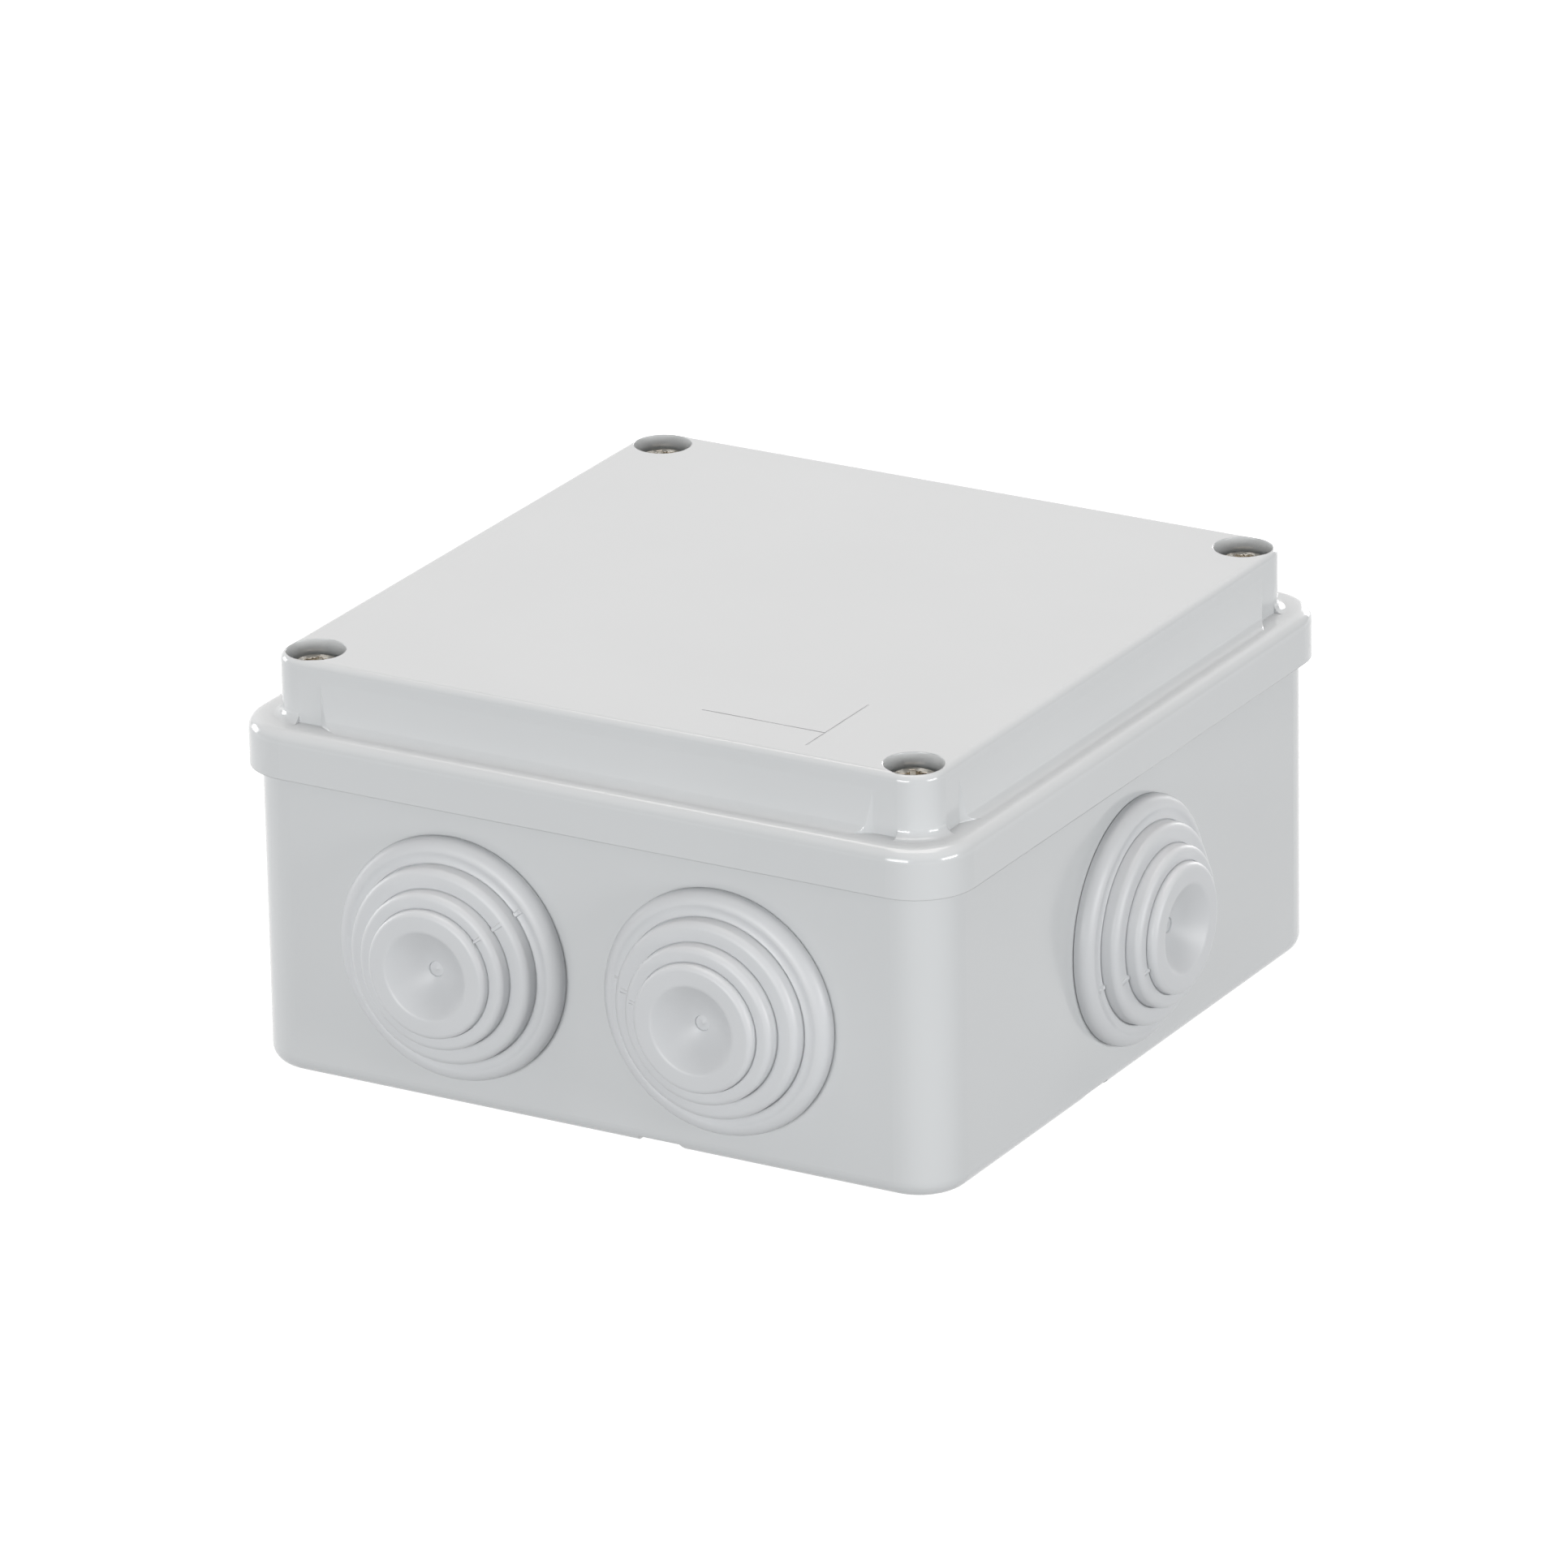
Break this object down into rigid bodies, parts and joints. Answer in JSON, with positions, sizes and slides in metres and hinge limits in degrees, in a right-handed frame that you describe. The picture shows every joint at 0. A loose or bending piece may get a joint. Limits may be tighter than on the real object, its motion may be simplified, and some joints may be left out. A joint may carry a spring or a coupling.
{
  "type": "electrical junction box",
  "caption": "Square surface-mounted junction box with a screwed raised lid, stepped cable glands in its walls and a terminal block inside.",
  "frame": {"origin": "centre of the back face, which lies against the wall", "axes": "+Z away from the wall through the lid; +X along the near side that carries two glands; -Y out of that side"},
  "size_m": [0.1208, 0.1208, 0.0576],
  "materials": {
    "shell": "semi-gloss injection-moulded thermoplastic, light grey",
    "gland": "soft satin thermoplastic elastomer, light grey",
    "gasket": "closed-cell foam seal",
    "screw_steel": "zinc-plated steel",
    "nylon": "natural polyamide",
    "block_plastic": "moulded polyamide, off-white",
    "brass": "machined brass"
  },
  "bodies": {
    "box_base": {"base": "shell", "gland_front_left": "gland", "gland_front_right": "gland", "gland_back_left": "gland", "gland_back_right": "gland", "gland_left": "gland", "gland_right": "gland", "terminal_block": "block_plastic", "block_screws": "screw_steel", "brass_terminal_1": "brass", "brass_terminal_2": "brass", "brass_terminal_3": "brass", "brass_terminal_4": "brass", "brass_terminal_5": "brass"},
    "box_lid": {"lid": "shell", "lid_gasket": "gasket"},
    "screw_carrier_1": {"screw_retainer_1": "nylon"},
    "lid_screw_1_body": {"lid_screw_1": "screw_steel"},
    "screw_carrier_2": {"screw_retainer_2": "nylon"},
    "lid_screw_2_body": {"lid_screw_2": "screw_steel"},
    "screw_carrier_3": {"screw_retainer_3": "nylon"},
    "lid_screw_3_body": {"lid_screw_3": "screw_steel"},
    "screw_carrier_4": {"screw_retainer_4": "nylon"},
    "lid_screw_4_body": {"lid_screw_4": "screw_steel"},
    "cap_1": {"fixing_cap_1": "shell"},
    "cap_2": {"fixing_cap_2": "shell"},
    "cap_3": {"fixing_cap_3": "shell"},
    "cap_4": {"fixing_cap_4": "shell"},
    "clamp_plate_1": {"pressure_plate_1": "screw_steel"},
    "clamp_screw_1_body": {"clamp_screw_1": "screw_steel"},
    "clamp_plate_2": {"pressure_plate_2": "screw_steel"},
    "clamp_screw_2_body": {"clamp_screw_2": "screw_steel"},
    "clamp_plate_3": {"pressure_plate_3": "screw_steel"},
    "clamp_screw_3_body": {"clamp_screw_3": "screw_steel"},
    "clamp_plate_4": {"pressure_plate_4": "screw_steel"},
    "clamp_screw_4_body": {"clamp_screw_4": "screw_steel"},
    "clamp_plate_5": {"pressure_plate_5": "screw_steel"},
    "clamp_screw_5_body": {"clamp_screw_5": "screw_steel"}
  },
  "joints": [
    {"name": "lid_lift", "type": "slide", "parent": "box_base", "child": "box_lid", "axis": [0, 0, 1], "range_m": [0, 0.06]},
    {"name": "lid_screw_1_rise", "type": "slide", "parent": "box_lid", "child": "screw_carrier_1", "axis": [0, 0, 1], "range_m": [0, 0.0075]},
    {"name": "lid_screw_1_turn", "type": "hinge", "parent": "screw_carrier_1", "child": "lid_screw_1_body", "pos_m": [-0.045, -0.045, 0.053], "axis": [0, 0, 1], "range_deg": [0, 1800]},
    {"name": "lid_screw_2_rise", "type": "slide", "parent": "box_lid", "child": "screw_carrier_2", "axis": [0, 0, 1], "range_m": [0, 0.0075]},
    {"name": "lid_screw_2_turn", "type": "hinge", "parent": "screw_carrier_2", "child": "lid_screw_2_body", "pos_m": [0.045, -0.045, 0.053], "axis": [0, 0, 1], "range_deg": [0, 1800]},
    {"name": "lid_screw_3_rise", "type": "slide", "parent": "box_lid", "child": "screw_carrier_3", "axis": [0, 0, 1], "range_m": [0, 0.0075]},
    {"name": "lid_screw_3_turn", "type": "hinge", "parent": "screw_carrier_3", "child": "lid_screw_3_body", "pos_m": [0.045, 0.045, 0.053], "axis": [0, 0, 1], "range_deg": [0, 1800]},
    {"name": "lid_screw_4_rise", "type": "slide", "parent": "box_lid", "child": "screw_carrier_4", "axis": [0, 0, 1], "range_m": [0, 0.0075]},
    {"name": "lid_screw_4_turn", "type": "hinge", "parent": "screw_carrier_4", "child": "lid_screw_4_body", "pos_m": [-0.045, 0.045, 0.053], "axis": [0, 0, 1], "range_deg": [0, 1800]},
    {"name": "cap_1_pull", "type": "slide", "parent": "box_base", "child": "cap_1", "axis": [0, 0, 1], "range_m": [0, 0.02]},
    {"name": "cap_2_pull", "type": "slide", "parent": "box_base", "child": "cap_2", "axis": [0, 0, 1], "range_m": [0, 0.02]},
    {"name": "cap_3_pull", "type": "slide", "parent": "box_base", "child": "cap_3", "axis": [0, 0, 1], "range_m": [0, 0.02]},
    {"name": "cap_4_pull", "type": "slide", "parent": "box_base", "child": "cap_4", "axis": [0, 0, 1], "range_m": [0, 0.02]},
    {"name": "clamp_1_travel", "type": "slide", "parent": "box_base", "child": "clamp_plate_1", "axis": [0, 0, 1], "range_m": [0, 0.0027]},
    {"name": "clamp_1_turn", "type": "hinge", "parent": "clamp_plate_1", "child": "clamp_screw_1_body", "pos_m": [-0.018, 0, 0.0169], "axis": [0, 0, 1], "range_deg": [0, 1944]},
    {"name": "clamp_2_travel", "type": "slide", "parent": "box_base", "child": "clamp_plate_2", "axis": [0, 0, 1], "range_m": [0, 0.0027]},
    {"name": "clamp_2_turn", "type": "hinge", "parent": "clamp_plate_2", "child": "clamp_screw_2_body", "pos_m": [-0.009, 0, 0.0169], "axis": [0, 0, 1], "range_deg": [0, 1944]},
    {"name": "clamp_3_travel", "type": "slide", "parent": "box_base", "child": "clamp_plate_3", "axis": [0, 0, 1], "range_m": [0, 0.0027]},
    {"name": "clamp_3_turn", "type": "hinge", "parent": "clamp_plate_3", "child": "clamp_screw_3_body", "pos_m": [0, 0, 0.0169], "axis": [0, 0, 1], "range_deg": [0, 1944]},
    {"name": "clamp_4_travel", "type": "slide", "parent": "box_base", "child": "clamp_plate_4", "axis": [0, 0, 1], "range_m": [0, 0.0027]},
    {"name": "clamp_4_turn", "type": "hinge", "parent": "clamp_plate_4", "child": "clamp_screw_4_body", "pos_m": [0.009, 0, 0.0169], "axis": [0, 0, 1], "range_deg": [0, 1944]},
    {"name": "clamp_5_travel", "type": "slide", "parent": "box_base", "child": "clamp_plate_5", "axis": [0, 0, 1], "range_m": [0, 0.0027]},
    {"name": "clamp_5_turn", "type": "hinge", "parent": "clamp_plate_5", "child": "clamp_screw_5_body", "pos_m": [0.018, 0, 0.0169], "axis": [0, 0, 1], "range_deg": [0, 1944]}
  ],
  "couplings": [
    {"joint": "lid_screw_1_turn", "follows": "lid_screw_1_rise", "rad_per_m": 4188.8},
    {"joint": "lid_screw_2_turn", "follows": "lid_screw_2_rise", "rad_per_m": 4188.8},
    {"joint": "lid_screw_3_turn", "follows": "lid_screw_3_rise", "rad_per_m": 4188.8},
    {"joint": "lid_screw_4_turn", "follows": "lid_screw_4_rise", "rad_per_m": 4188.8},
    {"joint": "clamp_1_turn", "follows": "clamp_1_travel", "rad_per_m": 12566},
    {"joint": "clamp_2_turn", "follows": "clamp_2_travel", "rad_per_m": 12566},
    {"joint": "clamp_3_turn", "follows": "clamp_3_travel", "rad_per_m": 12566},
    {"joint": "clamp_4_turn", "follows": "clamp_4_travel", "rad_per_m": 12566},
    {"joint": "clamp_5_turn", "follows": "clamp_5_travel", "rad_per_m": 12566}
  ]
}
